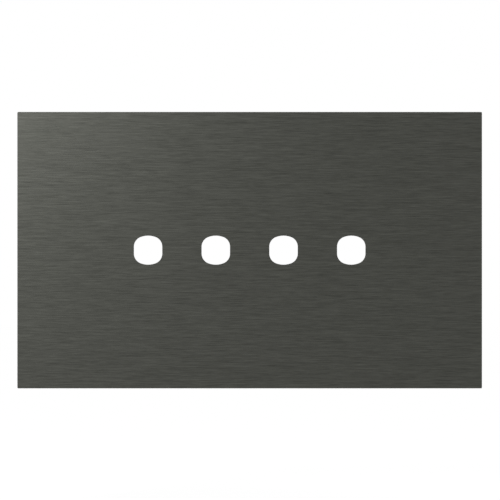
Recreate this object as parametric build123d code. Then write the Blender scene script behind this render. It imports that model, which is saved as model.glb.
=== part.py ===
from build123d import *
from math import radians, tan
import os

# Switch frame: the cover of a four-gang light switch, for a wall.
#
# A flat brushed metal sheet, the face plate, is bonded to a moulded clip frame. The clip frame snaps
# over the edge of the switch's mounting grid and stands on the wall with its rim. Each rocker of the
# switch comes out through one of a row of openings.
#
# X runs to the right and Z up, as seen by someone who faces the wall. The wall is the plane Y = 0, and
# the face looks along -Y. The origin is on the wall, behind the middle of the face. Sizes are in
# millimetres, and a depth is a distance out from the wall.

# Face plate
plate_width = 120.0
plate_height = 71.4
plate_thickness = 1.5
plate_corner_radius = 0.3
plate_edge_break = 0.1

# Openings for the rockers, straight at the sides and crowned at the top and bottom
gang_count = 4
gang_pitch = 17.5
opening_width = 7.35
opening_height = 7.5
opening_crown_radius = 5.4
opening_corner_radius = 2.65

# Mounting grid of the switch, which the clip frame fits over
grid_thickness = 3.9
grid_lip_thickness = 2.0
grid_clearance = 0.15

# Clip frame: a shallow tray with its open side to the wall
frame_depth = 6.5
frame_setback = 1.6
frame_edge_break = 0.3
web_thickness = 1.2
skirt_thickness = 1.5
skirt_root_radius = 0.5
rim_lead_in = 0.4
rim_edge_radius = 0.3
draft_angle = 1.0
wall_gap = 0.5

# Collars that line the openings, the ribs that join them, and the finish at their roots and tips
collar_clearance = 0.3
collar_wall = 1.0
rib_thickness = 0.9
widest_root = 0.3
widest_tip_break = 0.15

# Snap hooks along the two long sides, each with a window in the web for the mould's core
hooks_per_side = 3
hook_pitch = 40.0
hook_width = 8.0
hook_thickness = 0.8
hook_tip_thickness = 0.6
hook_room = 1.2
hook_nose = 0.4
hook_nose_land = 0.3
hook_return_angle = 35.0
hook_root_radius = 0.4
hook_corner_radius = 1.0
window_clearance = 0.3

# Guides on the inside of the skirt, which centre the frame on the grid
guide_width = 1.2
guide_lead_in = 0.6
short_side_guide_spacing = 34.0

# Round feet that stop the frame on the front of the grid
foot_diameter = 3.2
foot_inset = 8.5

# Notches in the short sides of the rim, for levering the frame off
notch_width = 10.0
notch_depth = 1.4
notch_corner_radius = 0.6

# Marks of the mould's ejector pins on the web
ejector_diameter = 3.5
ejector_depth = 0.12
ejector_row_spacing = 34.0

# Sizes that follow from those above
cavity_corner_radius = 2 * skirt_root_radius
frame_corner_radius = cavity_corner_radius + skirt_thickness
frame_width = plate_width - 2 * frame_setback
frame_height = plate_height - 2 * frame_setback
cavity_width = frame_width - 2 * skirt_thickness
cavity_height = frame_height - 2 * skirt_thickness
cavity_depth = frame_depth - web_thickness
foot_height = cavity_depth - grid_thickness
collar_height = foot_height - grid_clearance
root_size = min(widest_root, collar_height / 3)
tip_break = min(widest_tip_break, collar_height / 3)
guide_reach = hook_room + hook_thickness
hook_length = cavity_depth - wall_gap
upper_guide_face = cavity_height / 2 - guide_reach
right_guide_face = cavity_width / 2 - guide_reach


def from_wall(depth):
    """Plane parallel to the wall: its x is X, its y is Z, and an extrusion goes outwards, along -Y."""
    return Plane.XZ.offset(depth)


def section_across_x(x, z):
    """Section plane across X at a point of the web: its x runs down, its y from web to wall."""
    return Plane(origin=(x, -cavity_depth, z), x_dir=(0, 0, -1), z_dir=(1, 0, 0))


def section_across_z(x, z):
    """Section plane across Z at a point of the web: its x runs left, its y from web to wall."""
    return Plane(origin=(x, -cavity_depth, z), x_dir=(-1, 0, 0), z_dir=(0, 0, -1))


def places_in_row(count, pitch):
    """X of each place in a row about the middle."""
    return [(number - (count - 1) / 2) * pitch for number in range(count)]


def with_mirror(shapes, plane):
    """The shapes, and their mirror images on the other side of a plane."""
    return shapes + [mirror(shape, about=plane) for shape in shapes]


def opening_outline(grow=0.0):
    """Outline of one opening, grown by the same amount on all sides."""
    width = opening_width + 2 * grow
    height = opening_height + 2 * grow
    crown = Circle(opening_crown_radius + grow)
    crown_shift = opening_crown_radius + grow - height / 2
    crowned = (Pos(0, -crown_shift) * crown) & (Pos(0, crown_shift) * crown)
    straight_sided = crowned & Rectangle(width, 2 * height)
    return fillet(straight_sided.vertices(), opening_corner_radius + grow)


def at_each_gang(outline):
    """Copies of an outline, one at each place in the row."""
    return Sketch() + [place * outline for place in GridLocations(gang_pitch, gang_pitch, gang_count, 1)]


def make_face_plate():
    """The brushed sheet, with its front edges broken."""
    outline = RectangleRounded(plate_width, plate_height, plate_corner_radius)
    outline -= at_each_gang(opening_outline())
    plate = extrude(from_wall(frame_depth) * outline, plate_thickness)
    front_edges = plate.edges().group_by(Axis.Y)[0]
    return chamfer(front_edges, plate_edge_break)


def make_tray():
    """Web and skirt of the clip frame, with draft, rounded roots and a lead-in at the rim."""
    outer = RectangleRounded(frame_width, frame_height, frame_corner_radius)
    block = extrude(from_wall(0) * outer, frame_depth, taper=draft_angle)
    block = chamfer(block.edges().group_by(Axis.Y)[0], frame_edge_break)
    block = fillet(block.edges().group_by(Axis.Y)[-1], rim_edge_radius)

    inner = RectangleRounded(cavity_width, cavity_height, cavity_corner_radius)
    cavity = extrude(from_wall(0) * inner, cavity_depth, taper=draft_angle)
    cavity = fillet(cavity.edges().group_by(Axis.Y)[0], skirt_root_radius)

    mouth = offset(inner, rim_lead_in)
    lead_in = extrude(from_wall(0) * mouth, rim_lead_in, taper=45)
    return block - cavity - lead_in


def make_collars():
    """A collar round each opening, on a chamfered root and with a broken tip."""
    collar_outline = opening_outline(collar_clearance + collar_wall)
    root_outline = opening_outline(collar_clearance + collar_wall + root_size)
    collar = extrude(from_wall(cavity_depth - collar_height) * collar_outline, collar_height)
    collar = chamfer(collar.edges().group_by(Axis.Y)[-1], tip_break)
    root = extrude(from_wall(cavity_depth - root_size) * root_outline, root_size + web_thickness / 2)
    collar += chamfer(root.edges().group_by(Axis.Y)[-1], root_size)
    return [Pos(X=x) * collar for x in places_in_row(gang_count, gang_pitch)]


def raised_half_section(half_width, height, finish_root):
    """Half the section of a rib or foot on the web, with draft, a broken tip and a finished root."""
    half_base = half_width + height * tan(radians(draft_angle))
    root_end = half_base + 2 * root_size
    section = make_face(
        Polyline(
            (0, -web_thickness / 2),
            (0, height),
            (half_width, height),
            (half_base, 0),
            (root_end, 0),
            (root_end, -web_thickness / 2),
            close=True,
        )
    )
    tip = section.vertices().sort_by_distance((half_width, height))[0]
    section = chamfer(tip, tip_break)
    root = section.vertices().sort_by_distance((half_base, 0))[0]
    return finish_root(root, root_size)


def make_ribs():
    """A spine through the row of collars, and a cross rib through each collar."""
    half_section = raised_half_section(rib_thickness / 2, collar_height, fillet)
    section = half_section + mirror(half_section, about=Plane.YZ)
    spine = extrude(section_across_x(0, 0) * section, (cavity_width + skirt_thickness) / 2, both=True)
    cross_ribs = [
        extrude(section_across_z(x, 0) * section, (cavity_height + skirt_thickness) / 2, both=True)
        for x in places_in_row(gang_count, gang_pitch)
    ]
    return [spine] + cross_ribs


def make_feet():
    """A round foot near each corner of the web."""
    half_section = raised_half_section(foot_diameter / 2, foot_height, chamfer)
    foot_x = cavity_width / 2 - foot_inset
    foot_z = cavity_height / 2 - foot_inset
    axis = Axis((foot_x, 0, foot_z), (0, 1, 0))
    foot = revolve(section_across_x(foot_x, foot_z) * half_section, axis)
    return with_mirror(with_mirror([foot], Plane.YZ), Plane.XY)


def hook_side_view():
    """A snap hook seen along X, with its nose to the right and its back rounded into the web."""
    catch = foot_height + grid_lip_thickness + grid_clearance
    nose_start = catch + hook_nose * tan(radians(hook_return_angle))
    root_end = hook_thickness + 2 * hook_root_radius
    profile = make_face(
        Polyline(
            (0, -web_thickness / 2),
            (0, catch),
            (hook_nose, nose_start),
            (hook_nose, nose_start + hook_nose_land),
            (0, hook_length),
            (-hook_tip_thickness, hook_length),
            (-hook_thickness, 0),
            (-root_end, 0),
            (-root_end, -web_thickness / 2),
            close=True,
        )
    )
    root = profile.vertices().sort_by_distance((-hook_thickness, 0))[0]
    return fillet(root, hook_root_radius)


def hook_front_view():
    """A snap hook seen from the middle of the frame, with the corners of its tip rounded."""
    height = hook_length + web_thickness / 2
    outline = Pos(0, hook_length - height / 2) * Rectangle(hook_width, height)
    return fillet(outline.vertices().group_by(Axis.Y)[-1], hook_corner_radius)


def make_hooks():
    """Snap hooks that stand on the web, with their noses towards the middle of the frame."""
    side_view = hook_side_view()
    front_view = hook_front_view()
    upper = [
        extrude(section_across_x(x, upper_guide_face) * side_view, hook_width / 2, both=True)
        & extrude(section_across_z(x, upper_guide_face) * front_view, hook_length, both=True)
        for x in places_in_row(hooks_per_side, hook_pitch)
    ]
    return with_mirror(upper, Plane.XY)


def make_windows():
    """Cutters for the windows in the web, one in front of each hook's nose."""
    height = hook_nose + window_clearance
    window = Rectangle(hook_width + 2 * window_clearance, height)
    places = places_in_row(hooks_per_side, hook_pitch)
    upper = Sketch() + [Pos(x, upper_guide_face - height / 2) * window for x in places]
    cutter = extrude(from_wall(cavity_depth - web_thickness) * upper, 3 * web_thickness)
    return with_mirror(cutter.solids(), Plane.XY)


def make_guides():
    """Ribs on the skirt, midway between the hooks and in pairs on the short sides."""
    back = guide_reach + skirt_thickness / 2
    profile = make_face(
        Polyline(
            (0, -web_thickness / 2),
            (0, hook_length - guide_lead_in),
            (-guide_lead_in, hook_length),
            (-back, hook_length),
            (-back, -web_thickness / 2),
            close=True,
        )
    )
    upper = [
        extrude(section_across_x(x, upper_guide_face) * profile, guide_width / 2, both=True)
        for x in places_in_row(hooks_per_side - 1, hook_pitch)
    ]
    right = [
        extrude(section_across_z(right_guide_face, z) * profile, guide_width / 2, both=True)
        for z in (-short_side_guide_spacing / 2, short_side_guide_spacing / 2)
    ]
    return with_mirror(upper, Plane.XY) + with_mirror(right, Plane.YZ)


def make_notches():
    """Cutters for the lever notches in the rim."""
    outline = RectangleRounded(notch_width, 2 * notch_depth, notch_corner_radius)
    across = Plane(origin=(cavity_width / 2 - skirt_thickness, 0, 0), x_dir=(0, 0, 1), z_dir=(1, 0, 0))
    right = extrude(across * outline, 3 * skirt_thickness)
    return with_mirror([right], Plane.YZ)


def make_ejector_marks():
    """Shallow round cutters on the back of the web, in the bays between the cross ribs."""
    places = GridLocations(gang_pitch, ejector_row_spacing, gang_count + 1, 2)
    marks = Sketch() + [place * Circle(ejector_diameter / 2) for place in places]
    return extrude(from_wall(cavity_depth) * marks, ejector_depth)


def make_clip_frame():
    """The moulded frame, in one piece."""
    frame = make_tray() + make_collars() + make_ribs() + make_feet() + make_guides()
    rocker_openings = at_each_gang(opening_outline(collar_clearance))
    frame -= extrude(from_wall(0) * rocker_openings, 2 * frame_depth)
    frame -= make_windows()
    frame += make_hooks()
    frame -= make_notches()
    frame -= make_ejector_marks()
    return frame


os.makedirs("parts", exist_ok=True)
export_step(make_face_plate(), "parts/face_plate.step")
export_step(make_clip_frame(), "parts/clip_frame.step")
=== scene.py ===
# %% [markdown]
# # A switch frame in brushed metal
#
# The object is the cover of a four-gang light switch: a flat sheet of dark brushed metal, bonded to a
# moulded plastic frame that clips over the switch's mounting grid. Both pieces come from the CAD model
# at their real size, and their shapes are already right. So this lesson is about finish and light:
# what makes a plain dark rectangle read as brushed metal, and the back of it as a plastic moulding.
#
# The first step loads the two CAD pieces as a fixed frame. X runs to the right, Z up, and the wall is
# the plane Y = 0, so the metal face looks along -Y, towards the camera. Blender works in metres.

# %% Load the CAD pieces
from math import radians

import bpy
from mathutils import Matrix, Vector


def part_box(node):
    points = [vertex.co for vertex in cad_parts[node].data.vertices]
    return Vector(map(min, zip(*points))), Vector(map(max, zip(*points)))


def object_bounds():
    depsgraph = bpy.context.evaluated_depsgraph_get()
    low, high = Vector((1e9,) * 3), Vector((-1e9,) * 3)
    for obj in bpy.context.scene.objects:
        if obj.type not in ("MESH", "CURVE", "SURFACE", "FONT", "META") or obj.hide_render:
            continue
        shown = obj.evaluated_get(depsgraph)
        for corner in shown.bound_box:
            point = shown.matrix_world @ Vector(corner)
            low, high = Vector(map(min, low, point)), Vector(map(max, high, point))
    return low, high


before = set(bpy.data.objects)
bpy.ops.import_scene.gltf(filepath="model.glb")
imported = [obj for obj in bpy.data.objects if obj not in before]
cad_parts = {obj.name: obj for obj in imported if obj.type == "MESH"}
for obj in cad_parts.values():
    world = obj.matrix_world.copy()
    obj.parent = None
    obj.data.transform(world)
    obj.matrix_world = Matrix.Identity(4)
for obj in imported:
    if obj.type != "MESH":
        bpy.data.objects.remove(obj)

MM = 0.001

cad_low, cad_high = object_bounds()
plate_low, plate_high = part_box("face_plate")
plate_width = plate_high.x - plate_low.x
plate_height = plate_high.z - plate_low.z
print("plate", round(plate_width / MM, 2), "by", round(plate_height / MM, 2), "mm")
print("pieces", sorted(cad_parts))

# %% [markdown]
# ## The camera
#
# The photograph looks at the plate square on, so close to parallel that no wall of an opening shows.
# An orthographic camera would do that, but it gives other views no depth. A long lens far away does
# both. Its focal length follows from how many pixels the plate covers, and its place from how far the
# plate's middle lies from the middle of the picture.

# %% Place the camera from the plate's edges in the photograph
PHOTO_SIDE_PX = 500
PLATE_LEFT_PX = 17.35
PLATE_RIGHT_PX = 482.0
PLATE_TOP_PX = 112.05
PLATE_BOTTOM_PX = 388.25
CAMERA_DISTANCE = 1.3
SENSOR_WIDTH_MM = 36

metres_per_px = plate_width / (PLATE_RIGHT_PX - PLATE_LEFT_PX)
right_of_plate = PHOTO_SIDE_PX / 2 - (PLATE_LEFT_PX + PLATE_RIGHT_PX) / 2
above_plate = (PLATE_TOP_PX + PLATE_BOTTOM_PX) / 2 - PHOTO_SIDE_PX / 2

bpy.ops.object.camera_add(
    location=(
        right_of_plate * metres_per_px,
        plate_low.y - CAMERA_DISTANCE,
        above_plate * metres_per_px,
    ),
    rotation=(radians(90), 0, 0),
)
camera = bpy.context.object
camera.name = "photo_camera"
camera.data.sensor_width = SENSOR_WIDTH_MM
camera.data.lens = SENSOR_WIDTH_MM * CAMERA_DISTANCE / (PHOTO_SIDE_PX * metres_per_px)
bpy.context.scene.camera = camera
bpy.context.scene.view_settings.view_transform = "Standard"
print("lens", round(camera.data.lens), "mm")

# %% [markdown]
# ## A white studio
#
# The picture's ground is pure white, above, below and through the openings. A bright backdrop would
# give that, but it would also flood the plastic with light. Light Path tells a world shader which kind
# of ray asks: the camera, and the glossy rays that metal sends out, see plain white at strength 1. All
# other rays see a softer level, so the white ground puts no extra light on matt surfaces.

# %% Make the world
SOFT_LEVEL = 0.45
WHITE_LEVEL = 1.0
WHITE = (1, 1, 1, 1)


def add_node(tree, kind, **settings):
    """A new node of this kind, with its plain settings."""
    node = tree.nodes.new(kind)
    for name, value in settings.items():
        setattr(node, name, value)
    return node


def feed(tree, socket, value):
    """Give an input its value: a link from another socket, or a plain number."""
    if isinstance(value, bpy.types.NodeSocket):
        tree.links.new(value, socket)
    else:
        socket.default_value = value


def add_math(tree, operation, *values):
    """Socket with the result of one sum on sockets or numbers."""
    node = add_node(tree, "ShaderNodeMath", operation=operation)
    for socket, value in zip(node.inputs, values):
        feed(tree, socket, value)
    return node.outputs["Value"]


def seen_as_ground(tree):
    """Socket that is 1 for the rays that should see white ground: camera, glossy and transmission."""
    rays = add_node(tree, "ShaderNodeLightPath").outputs
    mirror = add_math(tree, "MAXIMUM", rays["Is Glossy Ray"], rays["Is Transmission Ray"])
    return add_math(tree, "MAXIMUM", rays["Is Camera Ray"], mirror)


def add_shader_mix(tree, factor, low, high):
    """Socket with a blend of two shaders."""
    node = add_node(tree, "ShaderNodeMixShader")
    for socket, source in zip(node.inputs, (factor, low, high)):
        tree.links.new(source, socket)
    return node.outputs["Shader"]


def add_background(tree, strength):
    """Socket with a white background of this strength."""
    node = add_node(tree, "ShaderNodeBackground")
    node.inputs["Color"].default_value = WHITE
    node.inputs["Strength"].default_value = strength
    return node.outputs["Background"]


world = bpy.data.worlds.new("white_studio")
world.use_nodes = True
bpy.context.scene.world = world
sky = world.node_tree
sky.nodes.clear()
choice = add_shader_mix(
    sky, seen_as_ground(sky), add_background(sky, SOFT_LEVEL), add_background(sky, WHITE_LEVEL)
)
sky.links.new(choice, add_node(sky, "ShaderNodeOutputWorld").inputs["Surface"])
print("world", world.name, "soft level", SOFT_LEVEL)

# %% [markdown]
# ## The floor
#
# The frame hangs on a wall, so it doesn't stand on the floor. The floor lies just low enough to stay
# under the edge of the photograph's view, and in other views it catches the frame's shadow. Its
# material is part white glow, for the rays that should see white ground, and part matt white paint,
# which takes the shadow.

# %% Make the floor
FLOOR_BELOW_PLATE = 31 * MM
FLOOR_SIDE = 6.0
FLOOR_GLOW = 0.7

bpy.ops.object.select_all(action="DESELECT")
bpy.ops.mesh.primitive_plane_add(size=FLOOR_SIDE, location=(0, 0, plate_low.z - FLOOR_BELOW_PLATE))
floor = bpy.context.object
floor.name = "floor"
bpy.ops.object.transform_apply(location=True)

paint = bpy.data.materials.new("white_floor")
paint.use_nodes = True
tree = paint.node_tree
tree.nodes.clear()
matt = add_node(tree, "ShaderNodeBsdfDiffuse")
matt.inputs["Color"].default_value = WHITE
glow = add_node(tree, "ShaderNodeEmission")
glow_share = add_math(tree, "MULTIPLY", seen_as_ground(tree), FLOOR_GLOW)
both = add_shader_mix(tree, glow_share, matt.outputs["BSDF"], glow.outputs["Emission"])
tree.links.new(both, add_node(tree, "ShaderNodeOutputMaterial").inputs["Surface"])
floor.data.materials.append(paint)
print("floor at z", round(floor.data.vertices[0].co.z / MM), "mm")

# %% [markdown]
# ## The corner lamp
#
# On the photograph the plate is lightest in its upper left corner and falls off evenly to the lower
# right. A wide lamp would spread over the whole face. A small one shows on rough metal as a soft patch,
# round the place where a mirror would show the lamp itself. With the camera far away, that place is
# straight behind the lamp. So a small lamp stands close in front of the plate, a little outside that
# corner, and its patch fades across the face.

# %% Add the corner lamp


def add_lamp(name, place, target, size, watts):
    """A square soft lamp at a place, turned towards a target, and hidden from the camera."""
    bpy.ops.object.light_add(type="AREA", location=place)
    lamp = bpy.context.object
    lamp.name = name
    lamp.data.size = size
    lamp.data.energy = watts
    aim = Vector(target) - Vector(place)
    lamp.rotation_mode = "QUATERNION"
    lamp.rotation_quaternion = aim.to_track_quat("-Z", "Y")
    lamp.visible_camera = False
    print(name, "at", [round(value / MM) for value in place], "mm,", watts, "W")


CORNER_LAMP_OUT = 240 * MM
CORNER_LAMP_LEFT = 50 * MM
CORNER_LAMP_UP = 80 * MM
CORNER_LAMP_SIZE = 50 * MM
CORNER_LAMP_WATTS = 0.44

corner_lamp_x = plate_low.x - CORNER_LAMP_LEFT
corner_lamp_z = plate_high.z + CORNER_LAMP_UP
add_lamp(
    "corner_lamp",
    place=(corner_lamp_x, plate_low.y - CORNER_LAMP_OUT, corner_lamp_z),
    target=(corner_lamp_x, plate_low.y, corner_lamp_z),
    size=CORNER_LAMP_SIZE,
    watts=CORNER_LAMP_WATTS,
)

# %% [markdown]
# ## Sheen for the other views
#
# Someone who walks round the frame should see it change, as metal and plastic do. Three low lamps stand
# outside the photograph's view: one on each side in front, and one behind on the right. The front ones
# give the face a sheen when it is seen from the side across from them, and the third does so for the
# moulding, seen from behind on the left. A sun, high and a little behind, throws the shadow and picks
# out the ribs.

# %% Add the low lamps and the sun
LOW_LAMP_ASIDE = 120 * MM
LOW_LAMP_OUT = 100 * MM
LOW_LAMP_DROP = 45 * MM
LOW_LAMP_SIZE = 40 * MM
FRONT_LAMP_WATTS = 0.048
BACK_LAMP_WATTS = 0.08
SUN_LEAN = (radians(-28), radians(14), 0)
SUN_STRENGTH = 2.0
SUN_ANGLE = radians(12)

left_lamp_x = plate_low.x - LOW_LAMP_ASIDE
right_lamp_x = plate_high.x + LOW_LAMP_ASIDE
for name, lamp_x in (("low_left_lamp", left_lamp_x), ("low_right_lamp", right_lamp_x)):
    add_lamp(
        name,
        place=(lamp_x, cad_low.y - LOW_LAMP_OUT, -LOW_LAMP_DROP),
        target=(0, cad_low.y, 0),
        size=LOW_LAMP_SIZE,
        watts=FRONT_LAMP_WATTS,
    )
add_lamp(
    "low_back_lamp",
    place=(right_lamp_x, cad_high.y + LOW_LAMP_OUT, -LOW_LAMP_DROP),
    target=(0, cad_high.y, 0),
    size=LOW_LAMP_SIZE,
    watts=BACK_LAMP_WATTS,
)
bpy.ops.object.light_add(type="SUN", rotation=SUN_LEAN)
sun = bpy.context.object
sun.name = "high_sun"
sun.data.energy = SUN_STRENGTH
sun.data.angle = SUN_ANGLE

# %% [markdown]
# ## Three effects, made once
#
# Brushing leaves fine scratches that all run one way, dead straight. Noise that is only stretched along
# the stroke waves like wood grain. So the face is divided into thin rows, and each row reads its own
# strip of noise, far from its neighbour's: the row's number times a shuffle step sets the place. Along
# the row the noise is stretched to the length of a stroke. A moulding has a fine even grain from its
# mould. And on both pieces the finish depends on which way a surface looks: the face is brushed but
# the cut edges aren't. Each effect serves more than one place, so each is a node group with inputs.

# %% Build the node group for streaks
NOISE_DETAIL = 2
NOISE_ROUGHNESS = 0.5
NOISE_LOW = 0.3
NOISE_HIGH = 0.7
ROW_SHUFFLE = 7.31


def new_group(name, inputs, outputs):
    """An empty shader node group with these sockets, and its two end nodes."""
    group = bpy.data.node_groups.new(name, "ShaderNodeTree")
    for socket, kind, value in inputs:
        made = group.interface.new_socket(socket, in_out="INPUT", socket_type=kind)
        if value is not None:
            made.default_value = value
    for socket in outputs:
        group.interface.new_socket(socket, in_out="OUTPUT", socket_type="NodeSocketFloat")
    return group, group.nodes.new("NodeGroupInput"), group.nodes.new("NodeGroupOutput")


def add_parts(tree, vector):
    """Sockets with the X, Y and Z of a vector."""
    node = add_node(tree, "ShaderNodeSeparateXYZ")
    tree.links.new(vector, node.inputs["Vector"])
    return node.outputs["X"], node.outputs["Y"], node.outputs["Z"]


def add_range(tree, source, from_low, from_high, low=0.0, high=1.0):
    """Socket with a value moved from one range to another, and kept inside it."""
    node = add_node(tree, "ShaderNodeMapRange")
    node.inputs["From Min"].default_value = from_low
    node.inputs["From Max"].default_value = from_high
    node.inputs["To Min"].default_value = low
    node.inputs["To Max"].default_value = high
    tree.links.new(source, node.inputs["Value"])
    return node.outputs["Result"]


def add_noise(tree, vector, scale):
    """Socket with soft noise, spread out so that it fills the range from 0 to 1."""
    node = add_node(tree, "ShaderNodeTexNoise")
    node.inputs["Detail"].default_value = NOISE_DETAIL
    node.inputs["Roughness"].default_value = NOISE_ROUGHNESS
    feed(tree, node.inputs["Vector"], vector)
    feed(tree, node.inputs["Scale"], scale)
    return add_range(tree, node.outputs["Fac"], NOISE_LOW, NOISE_HIGH)


streaks, given, result = new_group(
    "brushed_streaks",
    inputs=(
        ("Vector", "NodeSocketVector", None),
        ("Length", "NodeSocketFloat", 6 * MM),
        ("Width", "NodeSocketFloat", 0.2 * MM),
    ),
    outputs=("Streak",),
)
along, depth, across = add_parts(streaks, given.outputs["Vector"])
row = add_math(streaks, "FLOOR", add_math(streaks, "DIVIDE", across, given.outputs["Width"]))
scratch_place = add_node(streaks, "ShaderNodeCombineXYZ")
feed(streaks, scratch_place.inputs["X"], add_math(streaks, "DIVIDE", along, given.outputs["Length"]))
feed(streaks, scratch_place.inputs["Y"], add_math(streaks, "DIVIDE", depth, given.outputs["Width"]))
feed(streaks, scratch_place.inputs["Z"], add_math(streaks, "MULTIPLY", row, ROW_SHUFFLE))
feed(streaks, result.inputs["Streak"], add_noise(streaks, scratch_place.outputs["Vector"], 1))
print("group", streaks.name, [item.name for item in streaks.interface.items_tree])

# %% Build the node group for fine grain
grain, given, result = new_group(
    "fine_grain",
    inputs=(
        ("Vector", "NodeSocketVector", None),
        ("Size", "NodeSocketFloat", 0.3 * MM),
    ),
    outputs=("Grain",),
)
speckles_per_metre = add_math(grain, "DIVIDE", 1, given.outputs["Size"])
feed(grain, result.inputs["Grain"], add_noise(grain, given.outputs["Vector"], speckles_per_metre))
print("group", grain.name, [item.name for item in grain.interface.items_tree])

# %% Build the node group for the way a surface looks
FACING_FROM = 0.8
FACING_FULL = 0.95
SLOPE_OF_BROKEN_EDGE = -0.707
SLOPE_MISSED = 0.2
SLOPE_MET = 0.1

facing, given, result = new_group(
    "facing",
    inputs=(("Normal", "NodeSocketVector", None),),
    outputs=("Front", "Back", "Broken Edge"),
)
to_back = add_parts(facing, given.outputs["Normal"])[1]
feed(facing, result.inputs["Front"], add_range(facing, to_back, -FACING_FROM, -FACING_FULL))
feed(facing, result.inputs["Back"], add_range(facing, to_back, FACING_FROM, FACING_FULL))
off_slope = add_math(facing, "ABSOLUTE", add_math(facing, "SUBTRACT", to_back, SLOPE_OF_BROKEN_EDGE))
feed(facing, result.inputs["Broken Edge"], add_range(facing, off_slope, SLOPE_MISSED, SLOPE_MET))
print("group", facing.name, [item.name for item in facing.interface.items_tree])

# %% [markdown]
# ## The brushed metal
#
# The sheet was brushed from side to side and then dyed dark. What shows is mostly the room's white,
# taken down by the dark metal, with the scratches as faint lighter and darker streaks. One layer looks
# combed, because all its streaks are alike. A belt's grit isn't even, so three layers go together: long
# strokes, short strokes, and hairlines that only show from close by. They drive the colour, the
# roughness and a slight bump, as one scratch does all three. Scratches also spread a highlight across
# their run, and the shader's anisotropy does that, turned by a quarter.

# %% Lay the strokes on the face
LONG_STROKE = {"Length": 14 * MM, "Width": 0.14 * MM}
SHORT_STROKE = {"Length": 3.2 * MM, "Width": 0.18 * MM}
HAIRLINE = {"Length": 5 * MM, "Width": 0.06 * MM}
SHORT_SHARE = 0.6
HAIRLINE_SHARE = 0.5


def new_material(name):
    """A material with one Principled BSDF, its tree and that shader."""
    material = bpy.data.materials.new(name)
    material.use_nodes = True
    return material, material.node_tree, material.node_tree.nodes["Principled BSDF"]


def place_group(tree, group, source, **values):
    """A node that uses a group on these coordinates or normals, with its own values."""
    node = add_node(tree, "ShaderNodeGroup", node_tree=group)
    tree.links.new(source, node.inputs[0])
    for socket, value in values.items():
        node.inputs[socket].default_value = value
    return node


def add_mix(tree, factor, low, high):
    """Socket with a value between two others, each a number or another socket."""
    node = add_node(tree, "ShaderNodeMix", data_type="FLOAT")
    for socket, value in (("Factor", factor), ("A", low), ("B", high)):
        feed(tree, node.inputs[socket], value)
    return node.outputs["Result"]


metal, tree, shader = new_material("dark_brushed_metal")
coords = add_node(tree, "ShaderNodeTexCoord")
long_strokes = place_group(tree, streaks, coords.outputs["Object"], **LONG_STROKE)
short_strokes = place_group(tree, streaks, coords.outputs["Object"], **SHORT_STROKE)
hairlines = place_group(tree, streaks, coords.outputs["Object"], **HAIRLINE)
coarse = add_mix(tree, SHORT_SHARE, long_strokes.outputs["Streak"], short_strokes.outputs["Streak"])
stroke = add_mix(tree, HAIRLINE_SHARE, coarse, hairlines.outputs["Streak"])
print("strokes on", metal.name)

# %% Colour the strokes
METAL_TONE = (0.0547, 0.0560, 0.0493)
STROKE_CONTRAST = 0.41


def add_colour_mix(tree, factor, low, high):
    """Socket with a colour between two, each a colour or another socket."""
    node = add_node(tree, "ShaderNodeMix", data_type="RGBA")
    tree.links.new(factor, node.inputs["Factor"])
    for name, value in (("A", low), ("B", high)):
        place = next(socket for socket in node.inputs if socket.name == name and socket.type == "RGBA")
        feed(tree, place, (*value, 1) if isinstance(value, tuple) else value)
    return next(socket for socket in node.outputs if socket.type == "RGBA")


def scaled(colour, factor):
    """A colour made lighter or darker."""
    return tuple(value * factor for value in colour)


def add_tone(tree, factor, colour, contrast):
    """Socket with a colour that runs from darker to lighter by this contrast."""
    return add_colour_mix(tree, factor, scaled(colour, 1 - contrast), scaled(colour, 1 + contrast))


face_colour = add_tone(tree, stroke, METAL_TONE, STROKE_CONTRAST)
print("face tone", METAL_TONE, "give or take", STROKE_CONTRAST)

# %% [markdown]
# The cut edges weren't brushed. A blade or a beam leaves short marks across the thickness there, and
# these are the same streaks with space turned by a quarter, so that their length runs along Y. The
# front edge was broken by hand and is painted lighter: the dye is a little thinner on it, and the
# lighter colour is also a painted highlight along that edge.

# %% Finish the cut edges and close the metal


def add_bump(tree, shader, height, strength, depth):
    """Roughen a shader's surface by a height between 0 and 1, which stands for this depth."""
    node = add_node(tree, "ShaderNodeBump")
    node.inputs["Strength"].default_value = strength
    node.inputs["Distance"].default_value = depth
    tree.links.new(height, node.inputs["Height"])
    tree.links.new(node.outputs["Normal"], shader.inputs["Normal"])


CUT_MARK = {"Length": 1.5 * MM, "Width": 0.12 * MM}
CUT_CONTRAST = 0.25
# Lift for the broken edge's colour: partly thinner dye, partly a painted edge highlight.
BROKEN_EDGE_DYE_AND_HIGHLIGHT = 1.3
FACE_ROUGHNESS = (0.39, 0.45)
CUT_ROUGHNESS = (0.46, 0.56)
SCRATCH_STRENGTH = 1.0
SCRATCH_DEPTH = 0.004 * MM
BRUSH_PULL = 0.3
QUARTER_TURN = 0.25

turned = add_node(tree, "ShaderNodeMapping")
turned.inputs["Rotation"].default_value = (0, 0, radians(90))
tree.links.new(coords.outputs["Object"], turned.inputs["Vector"])
cut = place_group(tree, streaks, turned.outputs["Vector"], **CUT_MARK).outputs["Streak"]
looks = place_group(tree, facing, coords.outputs["Normal"])
cut_colour = add_tone(tree, cut, METAL_TONE, CUT_CONTRAST)
# Painted highlight: the broken edge is coloured lighter, for thinner dye and for light along the edge.
broken_dye_and_highlight_colour = scaled(METAL_TONE, BROKEN_EDGE_DYE_AND_HIGHLIGHT)
edge_colour = add_colour_mix(tree, looks.outputs["Broken Edge"], cut_colour, broken_dye_and_highlight_colour)
colour = add_colour_mix(tree, looks.outputs["Front"], edge_colour, face_colour)
tree.links.new(colour, shader.inputs["Base Color"])
face_roughness = add_range(tree, stroke, 0, 1, *FACE_ROUGHNESS)
cut_roughness = add_range(tree, cut, 0, 1, *CUT_ROUGHNESS)
roughness = add_mix(tree, looks.outputs["Front"], cut_roughness, face_roughness)
tree.links.new(roughness, shader.inputs["Roughness"])

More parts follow.
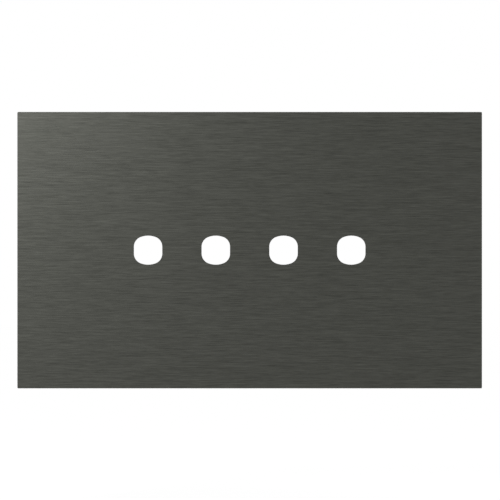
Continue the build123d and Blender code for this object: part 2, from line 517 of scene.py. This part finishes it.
scratches = add_mix(tree, looks.outputs["Front"], cut, stroke)
add_bump(tree, shader, scratches, SCRATCH_STRENGTH, SCRATCH_DEPTH)
shader.inputs["Metallic"].default_value = 1
shader.inputs["Anisotropic"].default_value = BRUSH_PULL
shader.inputs["Anisotropic Rotation"].default_value = QUARTER_TURN
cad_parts["face_plate"].material_slots[0].material = metal
print("material", metal.name, "nodes", len(tree.nodes))

# %% [markdown]
# ## The moulded plastic
#
# The clip frame is charcoal polycarbonate. A mould for a part like this is spark-eroded, which leaves
# a fine even grain on the plastic, so the light on it breaks up softly. The melt doesn't fill a mould
# quite evenly, and a slow drift in the gloss shows that. The ejector pins have ground ends, so their
# round marks on the web are smoother than the rest. They lie a little deeper than the web, which is
# how the material finds them.

# %% Make the moulded plastic
PLASTIC_TONE = (0.036, 0.036, 0.038)
PLASTIC_IOR = 1.58
SPARK_SIZE = 0.4 * MM
FLOW_SIZE = 18 * MM
FLOW_CONTRAST = 0.08
SMOOTH_ROUGHNESS = (0.42, 0.50)
PITTED_ROUGHNESS = (0.54, 0.62)
PIN_MARK_ROUGHNESS = 0.4
SPARK_STRENGTH = 0.7
SPARK_DEPTH = 0.06 * MM
WEB_THICKNESS = 1.2 * MM
PIN_MARK_DEPTH = 0.12 * MM

plastic, tree, shader = new_material("charcoal_plastic")
coords = add_node(tree, "ShaderNodeTexCoord")
pits = place_group(tree, grain, coords.outputs["Object"], Size=SPARK_SIZE).outputs["Grain"]
drift = place_group(tree, grain, coords.outputs["Object"], Size=FLOW_SIZE).outputs["Grain"]
looks = place_group(tree, facing, coords.outputs["Normal"])
depth = add_parts(tree, coords.outputs["Object"])[1]
web_back = plate_high.y + WEB_THICKNESS
below_web = add_range(tree, depth, web_back - PIN_MARK_DEPTH / 3, web_back - PIN_MARK_DEPTH / 2)
pin_mark = add_math(tree, "MULTIPLY", below_web, looks.outputs["Back"])

tree.links.new(add_tone(tree, drift, PLASTIC_TONE, FLOW_CONTRAST), shader.inputs["Base Color"])
smooth = add_range(tree, drift, 0, 1, *SMOOTH_ROUGHNESS)
pitted = add_range(tree, drift, 0, 1, *PITTED_ROUGHNESS)
grained = add_mix(tree, pits, smooth, pitted)
tree.links.new(add_mix(tree, pin_mark, grained, PIN_MARK_ROUGHNESS), shader.inputs["Roughness"])
add_bump(tree, shader, pits, SPARK_STRENGTH, SPARK_DEPTH)
shader.inputs["IOR"].default_value = PLASTIC_IOR
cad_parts["clip_frame"].material_slots[0].material = plastic
print("material", plastic.name, "nodes", len(tree.nodes))
